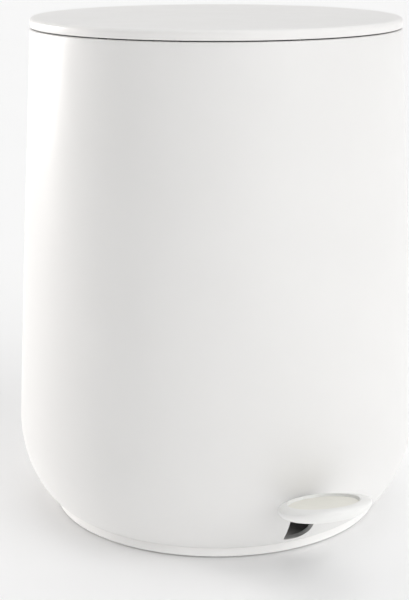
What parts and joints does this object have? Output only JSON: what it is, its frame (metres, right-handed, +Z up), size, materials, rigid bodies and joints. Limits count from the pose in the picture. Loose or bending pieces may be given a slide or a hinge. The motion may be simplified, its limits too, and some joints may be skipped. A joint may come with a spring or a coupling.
{
  "type": "pedal bin",
  "caption": "Round barrel-shaped pedal bin with a flat hinged lid, an oval foot pedal, a hidden lever and rod, and a lift-out inner bucket.",
  "frame": {"origin": "on the shell's axis at floor level", "axes": "+Z up, -Y towards the pedal, +Y towards the lid's hinge, X across"},
  "size_m": [0.185, 0.2197, 0.2276],
  "materials": {
    "shell_white": "satin, fine moulded texture",
    "lid_white": "satin, fine moulded texture",
    "foot_white": "satin, fine moulded texture",
    "pedal_white": "satin, smooth",
    "pad_cream": "matte elastomer",
    "inner_grey": "satin moulded polypropylene",
    "dark_grey": "matt moulded polypropylene",
    "bucket_grey": "satin moulded polypropylene",
    "plated_steel": "bright zinc plate",
    "black_rubber": "matte"
  },
  "bodies": {
    "base": {"outer_shell": "shell_white", "foot_ring": "foot_white", "base_plate": "dark_grey", "non_slip_ring": "black_rubber", "base_screws": "plated_steel", "lever_buffers": "black_rubber", "pedal_axle": "plated_steel", "axle_clips": "plated_steel", "rod_guides": "inner_grey", "top_collar": "inner_grey", "lid_bumpers": "black_rubber", "hinge_bracket": "plated_steel", "hinge_rivets": "plated_steel", "hinge_pin": "plated_steel"},
    "pedal": {"pedal_lever": "plated_steel", "pedal_dish": "pedal_white", "pedal_pad": "pad_cream", "pedal_screws": "plated_steel", "lever_bushing": "inner_grey", "lever_pin": "plated_steel"},
    "rod": {"push_rod": "plated_steel", "rod_shoe": "inner_grey", "rod_clip": "plated_steel"},
    "lid": {"lid_shell": "lid_white", "lid_liner": "inner_grey", "lid_hinge": "inner_grey", "lid_screws": "plated_steel"},
    "bucket": {"inner_bucket": "bucket_grey"},
    "handle": {"bucket_handle": "plated_steel", "handle_grip": "inner_grey"}
  },
  "joints": [
    {"name": "lid_open", "type": "hinge", "parent": "base", "child": "lid", "pos_m": [0, 0.0886, 0.219], "axis": [-1, 0, 0], "range_deg": [0, 80]},
    {"name": "pedal_press", "type": "hinge", "parent": "base", "child": "pedal", "pos_m": [0, -0.032, 0.02551], "axis": [1, 0, 0], "range_deg": [0, 14.9]},
    {"name": "rod_lift", "type": "slide", "parent": "base", "child": "rod", "axis": [0, 0, 1], "range_m": [0, 0.0272]},
    {"name": "bucket_lift", "type": "slide", "parent": "base", "child": "bucket", "axis": [0, 0, 1], "range_m": [0, 0.003]},
    {"name": "handle_swing", "type": "hinge", "parent": "bucket", "child": "handle", "pos_m": [0, 0, 0.2148], "axis": [-1, 0, 0], "range_deg": [0, 2.5]}
  ],
  "couplings": [
    {"joint": "pedal_press", "follows": "lid_open", "ratio": 0.18498},
    {"joint": "rod_lift", "follows": "lid_open", "m_per_rad": 0.019351}
  ]
}
